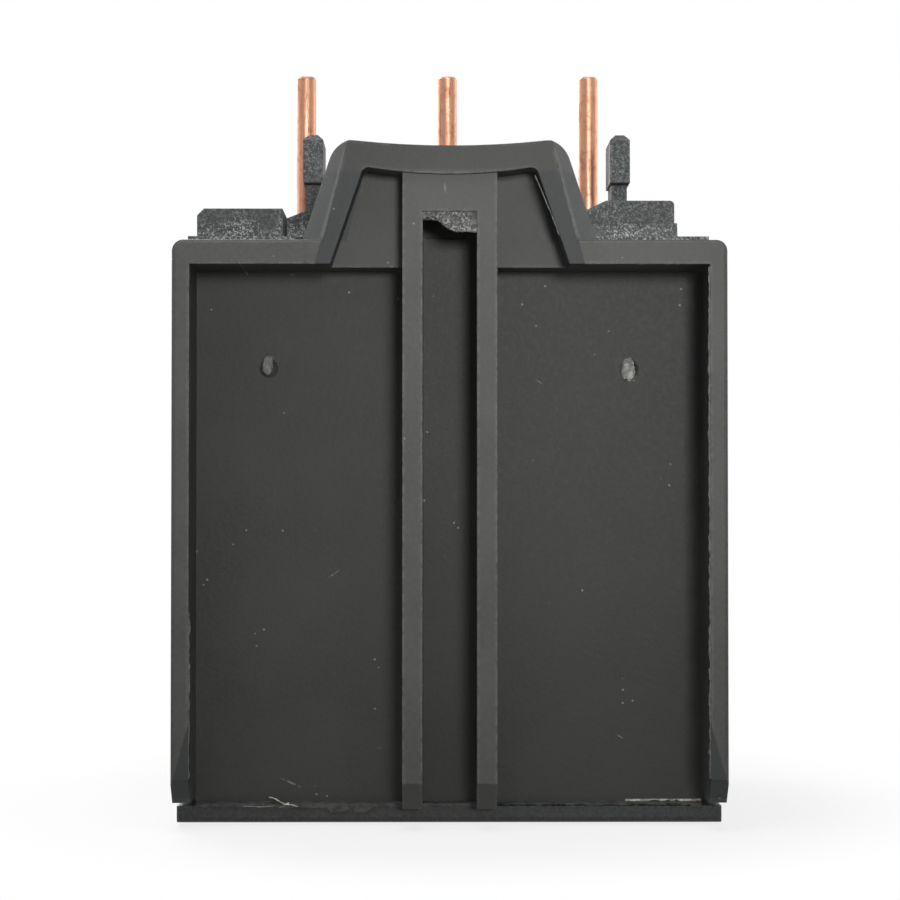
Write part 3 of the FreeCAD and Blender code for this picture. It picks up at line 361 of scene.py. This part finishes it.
def drawn_copper():
    """Bare copper wire with streaks along its length and darker tarnish."""
    f = Finish("drawn copper", Metallic=1.0)
    streaks = f.noise(1, 4, 0.7, f.placed((0.35 * MM, 0.35 * MM, 6 * MM)))
    blotches = f.noise(900, 4, 0.7)
    tarnish = (streaks.between(0.45, 0.75) * 0.5 + blotches.between(0.5, 0.75) * 0.5).limit()
    base = f.blend(tarnish, shade(196, 146, 120), shade(126, 76, 57))
    bump = f.bump(blotches + streaks, 0.05 * MM, 0.6)
    return f.wear(Base_Color=base, Roughness=tarnish * 0.2 + 0.42, Normal=bump)


def plated_metal(name, colour):
    """Bright plating with a soft mottle and rolling or turning marks."""
    f = Finish(name, Metallic=1.0)
    mottle = f.noise(700, 3, 0.6)
    lines = f.noise(1, 3, 0.6, f.placed((0.1 * MM, 0.1 * MM, 3 * MM)))
    base = f.blend(mottle.between(0.3, 0.7), colour, dimmed(colour, 0.72))
    bump = f.bump(mottle + lines, 0.012 * MM, 0.5, f.rounded(0.08 * MM))
    return f.wear(Base_Color=base, Roughness=mottle * 0.25 + 0.2, Normal=bump)


def clear_plastic():
    f = Finish("clear plastic", IOR=1.49, Transmission_Weight=1.0)
    haze = f.noise(500, 3)
    base = f.blend(haze, shade(240, 244, 244), shade(226, 234, 236))
    return f.wear(Base_Color=base, Roughness=haze * 0.06 + 0.03)


def printed_ink():
    f = Finish("pale printing ink")
    patchy = f.noise(1500, 3)
    base = f.blend(patchy.between(0.35, 0.65), shade(216, 216, 210), shade(190, 190, 184))
    return f.wear(Base_Color=base, Roughness=patchy * 0.3 + 0.4)


cover_plastic = moulded_plastic("charcoal rear cover", shade(95, 95, 93), marks=True)
housing_plastic = eroded_plastic("charcoal housing", shade(90, 93, 92), 1.1)
front_plastic = moulded_plastic("charcoal front", shade(76, 78, 77), grain=1.6)
# Painted shade: a darker copy of the cover's plastic, for the flash on the lip, the sheet in the
# window and the lines at the hooks; its pale edges are partly painted highlight.
flash_and_shade_plastic = moulded_plastic("dark flash", shade(64, 64, 62), edge_wear_and_highlight=0.9, dust=0)
burr_plastic = torn_plastic("pale torn burr", shade(112, 113, 110))
curl_plastic = torn_plastic("white stretched plastic", shade(222, 222, 216))
scar_plastic = torn_plastic("grey scar", shade(146, 147, 143))
pale_scar_plastic = torn_plastic("pale scar", shade(186, 187, 182))
grit_plastic = eroded_plastic("grit behind the window", shade(104, 105, 102), 1.2)
ink = printed_ink()

FINISHES = {
    "cover_plastic": cover_plastic,
    "housing_plastic": housing_plastic,
    "front_plastic": front_plastic,
    "clear_plastic": clear_plastic(),
    "dial_plastic": moulded_plastic("white dial plastic", shade(224, 223, 217), dust=0, edge_wear_and_highlight=0),
    "tag_plastic": moulded_plastic("white tag plastic", shade(230, 229, 224), dust=0, edge_wear_and_highlight=0),
    "blue_plastic": moulded_plastic(
        "blue button plastic", shade(32, 84, 168), rough=0.35, dust=0, edge_wear_and_highlight=0.2
    ),
    "red_plastic": moulded_plastic(
        "red button plastic", shade(186, 30, 28), rough=0.35, dust=0, edge_wear_and_highlight=0.2
    ),
    "orange_plastic": moulded_plastic("orange flag plastic", shade(232, 120, 26), dust=0, edge_wear_and_highlight=0),
    "natural_plastic": moulded_plastic("natural plastic", shade(206, 200, 182), dust=0, edge_wear_and_highlight=0),
    "copper": drawn_copper(),
    "plated_steel": plated_metal("zinc plated steel", shade(182, 184, 180)),
    "bimetal": plated_metal("rolled bimetal", shade(168, 160, 148)),
    "heater_ribbon": plated_metal("heater ribbon", shade(140, 134, 128)),
    "spring_steel": plated_metal("spring steel", shade(150, 152, 154)),
    "contact_bronze": plated_metal("contact bronze", shade(196, 160, 96)),
}


# ---------------------------------------------------------------- modelling helpers
def deselect_all():
    bpy.ops.object.select_all(action="DESELECT")


def take(piece):
    """Makes a piece the only one that the operators act on."""
    deselect_all()
    piece.select_set(True)
    bpy.context.view_layer.objects.active = piece
    return piece


def added():
    """The piece that a primitive operator has just made, alone in the selection."""
    return take(bpy.context.object)


def slot_of(node):
    return next(s["material_slot"] for s in frame["record"]["subparts"] if s["node"] == node)


def body_of(node):
    bodies = frame["record"]["behaviour"]["bodies"]
    return next(body for body, nodes in bodies.items() if node in nodes)


def settle(piece):
    """Moves the place, turn and size of a piece into its mesh."""
    take(piece)
    bpy.ops.object.transform_apply(location=True, rotation=True, scale=True)


def modify(piece, kind, **settings):
    """Adds a modifier and applies it."""
    modifier = piece.modifiers.new(kind.lower(), kind)
    for name, value in settings.items():
        setattr(modifier, name, value)
    take(piece)
    bpy.ops.object.modifier_apply(modifier=modifier.name)


def dress(piece, name, finish, node, smooth=35):
    """Names a finished piece and gives it the finish, and the body of a node."""
    settle(piece)
    piece.name = name
    piece.data.name = name
    piece.data.materials.clear()
    piece.data.materials.append(finish.material)
    bpy.ops.object.shade_smooth_by_angle(angle=radians(smooth))
    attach(piece, body_of(node))
    return piece


def copied(piece, shift):
    """A copy with its own mesh, moved by a vector."""
    twin = piece.copy()
    twin.data = piece.data.copy()
    bpy.context.collection.objects.link(twin)
    twin.location = Vector(twin.location) + Vector(shift)
    return twin


def pick(piece, mode, parts, chosen):
    """Goes into edit mode with only the chosen points or faces selected."""
    take(piece)
    bpy.ops.object.mode_set(mode="EDIT")
    bpy.ops.mesh.select_mode(type=mode)
    bpy.ops.mesh.select_all(action="DESELECT")
    bpy.ops.object.mode_set(mode="OBJECT")
    for part in getattr(piece.data, parts):
        part.select = bool(chosen(part))
    bpy.ops.object.mode_set(mode="EDIT")


def pick_points(piece, chosen):
    pick(piece, "VERT", "vertices", lambda point: chosen(point.co))


def pick_faces(piece, chosen):
    pick(piece, "FACE", "polygons", chosen)


def leave_edit():
    bpy.ops.object.mode_set(mode="OBJECT")


def clouds(size):
    texture = bpy.data.textures.new("ragged", "CLOUDS")
    texture.noise_scale = size
    texture.noise_depth = 2
    return texture


def paint_solids():
    """Every solid of the frame gets the finish of its material slot."""
    for name, solid in frame["nodes"].items():
        finish = FINISHES[slot_of(name)].material
        if not solid.data.materials:
            solid.data.materials.append(finish)
        for index in range(len(solid.material_slots)):
            solid.material_slots[index].material = finish


# ---------------------------------------------------------------- flash and burrs
def upright_grid(length, height, columns, rows=2):
    """A grid in the XZ plane, in mm, with its corner at the origin."""
    bpy.ops.mesh.primitive_grid_add(x_subdivisions=columns, y_subdivisions=rows, size=1)
    piece = added()
    piece.scale = (length * MM, height * MM, 1)
    piece.rotation_euler = (radians(90), 0, 0)
    piece.location = (length / 2 * MM, 0, height / 2 * MM)
    settle(piece)
    return piece


def tear(piece, ripple, size, direction, chosen):
    """Makes the chosen points of a sheet ragged."""
    ragged = piece.vertex_groups.new(name="ragged")
    ragged.add([p.index for p in piece.data.vertices if chosen(p.co)], 1.0, "REPLACE")
    modify(
        piece, "DISPLACE", texture=clouds(size * MM), vertex_group="ragged",
        direction=direction, strength=ripple * MM, texture_coords="LOCAL",
    )
    piece.vertex_groups.clear()


def sliver(name, start, end, plane, breadth, ripple, finish, node="rear_cover", thick=0.06):
    """A ragged strip from start to end, (x, z) in mm. Its free side is on the left."""
    run = Vector(end) - Vector(start)
    piece = upright_grid(run.length, breadth, max(8, round(run.length / 0.3)))
    piece.location = (0, start[0] * MM, 0)  # a stretch of the ragged pattern of its own
    settle(piece)
    tear(piece, ripple, 0.45, "Z", lambda p: p.z > breadth * 0.9 * MM)
    piece.location = (0, -start[0] * MM, 0)
    settle(piece)
    modify(piece, "SOLIDIFY", thickness=thick * MM, offset=0)
    piece.rotation_euler = (0, -atan2(run.y, run.x), 0)
    piece.location = (start[0] * MM, plane * MM, start[1] * MM)
    return dress(piece, name, finish, node)


def make_burrs():
    """Pale ragged lines on the inner edges of the rear frame."""
    plane = REAR - 0.05
    line = BAR_UNDERSIDE + 0.1
    places = (
        ("burr_right_rail", (-RAIL_INSIDE, 45.5), (-RAIL_INSIDE, 4.2), 0.13, 0.34),
        ("burr_left_rail", (RAIL_INSIDE, 4.2), (RAIL_INSIDE, 17.5), 0.1, 0.3),
        ("burr_left_bar", (20.8, line), (12.4, line), 0.08, 0.2),
        ("burr_right_bar", (-12.4, line), (-20.8, line), 0.08, 0.26),
        ("burr_hood_side", (-6.95, 52.9), (-9.75, 46.1), 0.1, 0.3),
    )
    for name, start, end, breadth, ripple in places:
        sliver(name, start, end, plane, breadth, ripple, burr_plastic)
    sliver(
        "burr_right_foot", (-14.6, 1.86), (-20.9, 1.86), PANEL + 0.05, 0.16, 0.4, curl_plastic,
        thick=0.1,
    )


def make_foot_flash():
    """A thin wavy skin of flash that runs from the panels over the lip of the housing."""
    length = 2 * RAIL_INSIDE - 0.3
    piece = upright_grid(length, 0.35, 140)
    piece.location = (-length / 2 * MM, (LIP + 0.08) * MM, (PANEL_FOOT - 0.25) * MM)
    settle(piece)
    low = (PANEL_FOOT - 0.2) * MM
    steps = ((6.3, 9.9, -0.42), (10.4, 14.2, -0.08), (-2.0, 2.0, 0.08), (-20.0, -3.4, 0.22))
    for near, far, rise in steps:
        pick_points(piece, lambda p: p.z < low and near * MM < p.x < far * MM)
        bpy.ops.transform.translate(value=(0, 0, rise * MM))
        leave_edit()
    tear(piece, 0.24, 0.5, "Z", lambda p: p.z < PANEL_FOOT * MM)
    top = (PANEL_FOOT + 0.09) * MM
    pick_points(piece, lambda p: p.z > top)
    bpy.ops.mesh.select_mode(type="EDGE")
    to_panel = (0, -1.02 * MM, 0.06 * MM)
    bpy.ops.mesh.extrude_region_move(TRANSFORM_OT_translate={"value": to_panel})
    leave_edit()
    modify(piece, "SOLIDIFY", thickness=0.07 * MM, offset=0)
    dress(piece, "foot_flash", flash_and_shade_plastic, "rear_cover")


def curl(name, points, breadth, finish):
    """A bent splinter through points (x, y, z) in mm."""
    bpy.ops.mesh.primitive_plane_add(size=breadth * MM, location=Vector(points[0]) * MM)
    piece = added()
    settle(piece)
    edge_x = points[0][0] * MM
    pick_points(piece, lambda p: p.x < edge_x)
    bpy.ops.mesh.select_mode(type="EDGE")
    for last, here in zip(points, points[1:]):
        step = (Vector(here) - Vector(last)) * MM
        bpy.ops.mesh.extrude_region_move(TRANSFORM_OT_translate={"value": step})
    bpy.ops.transform.resize(value=(0.4, 0.4, 0.4))
    leave_edit()
    modify(piece, "SOLIDIFY", thickness=breadth * 0.35 * MM, offset=0)
    modify(piece, "SUBSURF", levels=1, render_levels=1)
    dress(piece, name, finish, "rear_cover", smooth=60)


def make_curls():
    """White splinters that hang from the flash on the lip."""
    near, middle, far = LIP + 0.1, LIP + 0.2, LIP + 0.3
    long_way = [
        (14.8, LIP, 2.1), (14.3, far, 1.85), (13.8, LIP + 0.25, 1.5), (13.2, LIP + 0.35, 1.55),
        (12.6, near, 1.3),
    ]
    short_way = [(14.0, near, 1.3), (13.6, far, 1.6), (13.3, LIP + 0.15, 1.75)]
    thread_way = [(16.9, near, 1.4), (15.6, middle, 1.3), (14.4, near, 1.42)]
    curl("curl_long", long_way, 0.42, curl_plastic)
    curl("curl_short", short_way, 0.36, curl_plastic)
    curl("curl_thread", thread_way, 0.14, curl_plastic)


def make_window():
    """The torn web under the cross bar and, behind it, a dark sheet that is painted shade in the
    hole.
    """
    web = upright_grid(2 * CHANNEL_HALF, 1.0, 44, 4)
    web.location = (-CHANNEL_HALF * MM, (REAR - 0.75) * MM, (CROSS_BAR - 0.95) * MM)
    settle(web)
    middle = (CROSS_BAR - 0.45) * MM
    foot = (CROSS_BAR - 0.85) * MM
    for step in range(10):  # ever more of the foot goes down, which makes a slope
        pick_points(web, lambda p: p.z < foot and p.x < (1.3 - 0.17 * step) * MM)
        bpy.ops.transform.translate(value=(0, 0, -0.12 * MM))
        leave_edit()
    pick_points(web, lambda p: p.z < foot)
    bpy.ops.transform.translate(value=(0, 0, 0.48 * MM))
    leave_edit()
    tear(web, 0.3, 0.35, "Z", lambda p: p.z < middle)
    modify(web, "SOLIDIFY", thickness=0.5 * MM, offset=0)
    dress(web, "torn_web", grit_plastic, "rear_cover")
    # Painted shade: a dark sheet that fills the hole behind the web.
    skin = upright_grid(2 * CHANNEL_HALF + 0.1, 2.2, 8, 4)
    skin.location = (-(CHANNEL_HALF + 0.05) * MM, (PANEL - 0.2) * MM, (CROSS_BAR - 1.9) * MM)
    settle(skin)
    tear(skin, 0.25, 1.2, "Y", lambda p: True)
    modify(skin, "SOLIDIFY", thickness=0.3 * MM, offset=0)
    dress(skin, "window_shade_sheet", flash_and_shade_plastic, "rear_cover")


def gate_scar(name, x, z, size, finish, split=False):
    """The ragged oval scar that the snapped-off sprue leaves on a gate."""
    bpy.ops.mesh.primitive_uv_sphere_add(
        segments=40, ring_count=20, radius=0.62 * size * MM, location=(x * MM, PANEL * MM, z * MM),
    )
    piece = added()
    piece.scale = (0.94, 0.88 / size, 1.5)
    settle(piece)
    top = (PANEL + 0.2) * MM
    middle = 0.32 * size * MM
    pick_points(piece, lambda p: p.y > top and hypot(p.x - x * MM, p.z - z * MM) < middle)
    bpy.ops.transform.translate(value=(0, -0.04 * MM, 0))
    leave_edit()
    if split:
        foot = (z - 0.66 * size) * MM
        notch = (x + 0.15) * MM
        pick_points(piece, lambda p: p.z < foot and abs(p.x - notch) < 0.08 * MM)
        bpy.ops.transform.translate(value=(0, -0.2 * MM, 0.12 * MM))
        leave_edit()
    modify(
        piece, "DISPLACE", texture=clouds(0.35 * MM), strength=0.13 * MM, texture_coords="LOCAL"
    )
    dress(piece, name, finish, "rear_cover", smooth=50)


def make_hook_shadow_lines():
    """Painted shadows: dark strips above and below the nose of each snap hook, where its undercuts
    cast shade.
    """
    reach = 0.85
    for number, x in enumerate((-15.65, 12.2), start=1):
        for place, z in (("roof", 59.45), ("step", 55.62)):
            sliver(
                f"hook_{number}_{place}_line", (x + reach, z), (x - reach, z), HOOK_REAR + 0.02,
                0.12, 0.16, flash_and_shade_plastic, "main_housing",
            )


# ---------------------------------------------------------------- terminal screws
def cross_recess(piece, reach, breadth, depth, front):
    """Cuts a tapered cross into a head that faces the front."""
    for turn in (0, 90):
        bpy.ops.mesh.primitive_cube_add(size=1, location=(0, front, 0))
        cutter = added()
        cutter.scale = (2 * reach, 2 * depth, breadth)
        settle(cutter)
        pick_points(cutter, lambda p: p.y > front)
        bpy.ops.transform.resize(value=(0.45, 1, 0.6), center_override=(0, front, 0))
        leave_edit()
        cutter.rotation_euler = (0, radians(turn), 0)
        settle(cutter)
        modify(piece, "BOOLEAN", operation="DIFFERENCE", solver="EXACT", object=cutter)
        bpy.data.objects.remove(cutter)


def screw_head(head, height, front):
    """A cheese head along Y with an eased rim."""
    bpy.ops.mesh.primitive_cylinder_add(
        vertices=48, radius=head, depth=height, location=(0, front + height / 2, 0),
        rotation=(radians(90), 0, 0),
    )
    piece = added()
    settle(piece)
    pick_faces(piece, lambda face: face.normal.y < -0.9)
    bpy.ops.mesh.inset(thickness=0.35 * MM, depth=0)
    bpy.ops.transform.translate(value=(0, -0.001 * MM, 0))
    leave_edit()
    pick_points(piece, lambda p: p.y < front + 0.05 * MM and hypot(p.x, p.z) > head * 0.97)
    bpy.ops.transform.translate(value=(0, 0.3 * MM, 0))
    leave_edit()
    return piece


def screw_thread(thread, core, start, end, pitch):
    """A threaded shank along Y: the profile of a tooth wound round the axis."""
    bpy.ops.mesh.primitive_plane_add(size=pitch * 0.98, location=(core, start, 0))
    piece = added()
    settle(piece)
    turns = (end - start) / pitch - 1
    pick_points(piece, lambda p: p.x > core)
    bpy.ops.transform.translate(value=(thread - core - pitch * 0.49, 0, 0))
    bpy.ops.transform.resize(value=(1, 0.3, 1), center_override=(core, start, 0))
    leave_edit()
    pick_points(piece, lambda p: True)
    bpy.ops.transform.translate(value=(0, pitch / 2, 0))
    leave_edit()
    modify(
        piece, "SCREW", axis="Y", steps=24, render_steps=24, screw_offset=pitch,
        iterations=max(1, int(turns)), use_merge_vertices=False,
    )
    return piece


def make_screws():
    """Screws with a slot and a cross recess stand for the plain slotted ones."""
    pitch = 0.6
    families = (  # the family, its terminals, radius and height of the head, radius of the thread
        ("main", ("1", "2", "3"), 3.5, 2.4, 2.0),
        ("aux", ("95", "96", "97", "98"), 2.95, 2.2, 1.75),
    )
    for family, terminals, head, height, thread in families:
        pattern = None
        for terminal in terminals:
            node = f"{family}_screw_{terminal}"
            low, high = (Vector(corner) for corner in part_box(node))
            middle = (low + high) / 2
            if pattern is None:
                pattern = screw_head(head * MM, height * MM, low.y)
                cross_recess(pattern, head * 0.62 * MM, 0.95 * MM, 1.1 * MM, low.y)
                cross_recess(pattern, head * 1.2 * MM, 0.8 * MM, 0.6 * MM, low.y)
                shoulder = low.y + height * MM
                shank = screw_thread(thread * MM, thread * 0.8 * MM, shoulder, high.y, pitch * MM)
                deselect_all()
                shank.select_set(True)
                pattern.select_set(True)
                bpy.context.view_layer.objects.active = pattern
                bpy.ops.object.join()
            piece = copied(pattern, (middle.x, 0, middle.z))
            dress(piece, f"{node}_recessed", FINISHES["plated_steel"], node, smooth=30)
            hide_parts(node)
        bpy.data.objects.remove(pattern)


# ---------------------------------------------------------------- button springs
def make_springs():
    """Round wire coils stand for the square ones."""
    wire = 0.2 * MM
    turns = 4
    steps = turns * 28
    springs = (("reset_spring", "reset_press", 0.49), ("stop_spring", "stop_press", 0.63))
    for node, press, keep in springs:
        low, high = (Vector(corner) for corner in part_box(node))
        middle = (low + high) / 2
        reach = (high.x - low.x) / 2 - wire
        bpy.ops.mesh.primitive_circle_add(vertices=12, radius=wire, location=(reach, 0, 0))
        piece = added()
        settle(piece)
        modify(
            piece, "SCREW", axis="Y", steps=steps, render_steps=steps, angle=radians(360 * turns),
            screw_offset=high.y - low.y - 2 * wire, use_merge_vertices=False,
        )
        pick_points(piece, lambda p: True)
        bpy.ops.mesh.fill_holes(sides=0)
        bpy.ops.mesh.normals_make_consistent(inside=False)
        leave_edit()
        piece.location = (middle.x, low.y + wire, middle.z)
        dress(piece, f"{node}_coil", FINISHES["spring_steel"], node, smooth=50)
        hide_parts(node)
        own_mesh(piece)


# ---------------------------------------------------------------- setting dial
def make_dial_figures():
    """Plain numbers and ticks on the sunk ring round the setting dial."""
    low, high = (Vector(corner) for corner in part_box("setting_dial"))
    middle = (low + high) / 2
    sweep = radians(240)
    figures = ("9", "10", "11", "12", "13")
    gaps = len(figures) - 1

    def at(angle):
        radius = 7.0 * MM
        return (middle.x + radius * cos(angle), (FACE + 0.7) * MM, middle.z + radius * sin(angle))

    for index, figure in enumerate(figures):
        angle = radians(90) + sweep / 2 - sweep * index / gaps
        bpy.ops.object.text_add(location=(0, 0, 0))
        label = added()
        label.data.body = figure
        label.data.size = 1.35 * MM
        label.data.extrude = 0.03 * MM
        label.data.align_x = "CENTER"
        label.data.align_y = "CENTER"
        bpy.ops.object.convert(target="MESH")
        label = bpy.context.object
        label.rotation_euler = (radians(90), radians(90) - angle, 0)
        label.location = at(angle)
        dress(label, f"dial_figure_{figure}", ink, "front_cover")
    for index in range(gaps):
        angle = radians(90) + sweep / 2 - sweep * (index + 0.5) / gaps
        bpy.ops.mesh.primitive_cube_add(size=1)
        tick = added()
        tick.scale = (0.8 * MM, 0.06 * MM, 0.16 * MM)
        tick.rotation_euler = (0, -angle, 0)
        tick.location = at(angle)
        settle(tick)
        modify(tick, "BEVEL", width=0.02 * MM, segments=1, limit_method="NONE")
        dress(tick, f"dial_tick_{index + 1}", ink, "front_cover")


# ---------------------------------------------------------------- studio
def white_paper():
    """White to the eye, with a faint shadow of the object near it, and dim to the object."""
    f = Finish("white paper", Roughness=0.9)
    seen = f.ray("Camera")
    base = f.blend(seen, (0.12, 0.115, 0.11, 1), (0.96, 0.96, 0.96, 1))
    f.wear(Base_Color=base)
    x, y, _ = f.axes()
    rings = (x / (30 * MM)).math("POWER", 2) + (y / (44 * MM)).math("POWER", 2)
    away = rings.between(1.0, 2.6)
    mirrored = (f.ray("Glossy") + f.ray("Transmission")).limit()
    share = (seen * (away * 0.2 + 0.8) + mirrored).limit()
    white = f.glow(WHITE, 1, "ShaderNodeEmission")
    mixed = f.mix_shaders(share, Value(f, f.shader.outputs[0]), white)
    f.tree.links.new(mixed.socket, f.tree.nodes["Material Output"].inputs[0])
    return f


def make_floor():
    under = cad_low.z - 0.2 * MM
    bpy.ops.mesh.primitive_plane_add(size=6, location=(0, 0, under))
    floor = added()
    floor.name = "floor"
    floor.data.materials.append(white_paper().material)
    settle(floor)
    floor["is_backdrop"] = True


def make_world():
    """White where it is seen, greyer behind the relay in mirrors, and dim light on the object."""
    world = bpy.data.worlds.new("studio")
    bpy.context.scene.world = world
    world.use_nodes = True
    world.node_tree.nodes.clear()
    sky = Nodes(world.node_tree)
    seen = (sky.ray("Camera") + sky.ray("Glossy") + sky.ray("Transmission")).limit()
    rearward = sky.node("ShaderNodeSeparateXYZ", {}, {0: sky.node("ShaderNodeTexCoord")}, 1)
    backdrop = 1 - rearward.between(0.55, 0.95) * sky.ray("Glossy") * 0.65
    mixed = sky.mix_shaders(seen, sky.glow((0.94, 0.97, 1, 1), 0.1), sky.glow(WHITE, backdrop))
    output = world.node_tree.nodes.new("ShaderNodeOutputWorld")
    world.node_tree.links.new(mixed.socket, output.inputs[0])


def make_softbox(name, place, target, size, level, half_spread=90):
    """A square softbox that lights a facing white surface at its target to a level (1 is white)."""
    data = bpy.data.lights.new(name, "AREA")
    lamp = bpy.data.objects.new(name, data)
    bpy.context.collection.objects.link(lamp)
    lamp.location = place
    aim = Vector(target) - lamp.location
    lamp.rotation_euler = aim.to_track_quat("-Z", "Y").to_euler()
    data.size = size
    data.energy = level * pi * pi * aim.length_squared
    if half_spread < 90:
        spread = radians(half_spread)
        data.spread = 2 * spread  # brightens the middle of the beam, which the next line undoes
        data.energy *= (tan(spread) - spread) / tan(spread)


def make_camera():
    """Behind the relay at a hand's length, tipped up a little."""
    data = bpy.data.cameras.new("camera")
    data.lens = 109.1  # in millimetres, as the sensor's width
    data.sensor_width = 36
    data.clip_start = 0.01
    camera = bpy.data.objects.new("camera", data)
    bpy.context.collection.objects.link(camera)
    camera.location = (0.0016, 0.255, 0.025)
    camera.rotation_euler = (radians(91.47), 0, radians(179.58))
    bpy.context.scene.camera = camera


def make_studio():
    head = (-0.008, REAR * MM, 0.055)
    middle = (cad_low + cad_high) / 2
    make_world()
    make_floor()
    make_softbox("key softbox", (-0.07, 0.455, 0.085), head, 0.085, 1.04, half_spread=9)
    make_softbox("top softbox", (0.03, 0.14, 0.5), middle, 0.25, 0.45)
    make_softbox("front softbox", (0.2, -0.5, 0.3), middle, 0.35, 0.75)
    make_softbox("left softbox", (-0.5, -0.3, 0.2), middle, 0.3, 0.18)
    make_softbox("right softbox", (0.5, -0.3, 0.2), middle, 0.3, 0.15)
    make_camera()
    bpy.context.scene.view_settings.view_transform = "Standard"


paint_solids()
make_burrs()
make_foot_flash()
make_curls()
make_window()
gate_scar("gate_scar_left", 15.1, 37.9, 0.92, scar_plastic)
gate_scar("gate_scar_right", -14.9, 37.5, 1.12, pale_scar_plastic, split=True)
make_hook_shadow_lines()
make_screws()
make_springs()
make_dial_figures()
make_studio()
